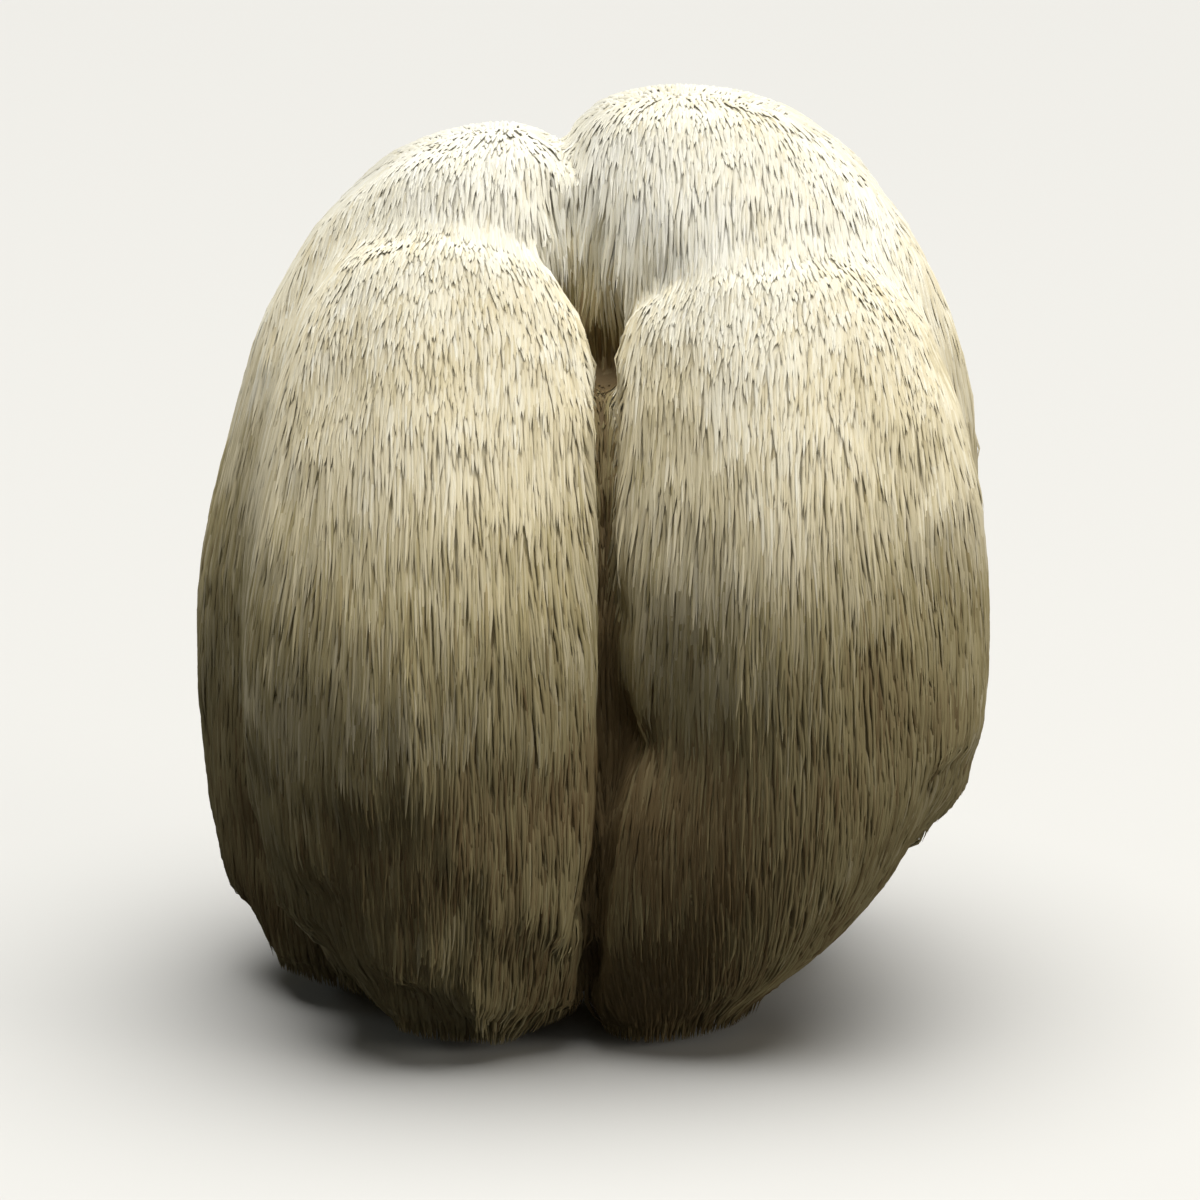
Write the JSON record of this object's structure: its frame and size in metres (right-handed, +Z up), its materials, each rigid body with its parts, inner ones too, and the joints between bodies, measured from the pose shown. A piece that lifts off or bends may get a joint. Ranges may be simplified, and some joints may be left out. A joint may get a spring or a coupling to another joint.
{
  "type": "lion's mane mushroom",
  "caption": "Whole lion's mane mushroom with swollen lobes covered in fine hanging spines, cut off flat underneath and standing on the cut.",
  "frame": {"origin": "middle of the bounding box, on the surface that the flat cut rests on", "axes": "+Z up, the way the spines hang from; the front, where two lobes meet in an upright crease, faces -Y"},
  "size_m": [0.142, 0.1232, 0.1625],
  "materials": {
    "flesh": "matte cream flesh and spines"
  },
  "bodies": {
    "root": {"fruiting_body": "flesh"}
  },
  "joints": []
}
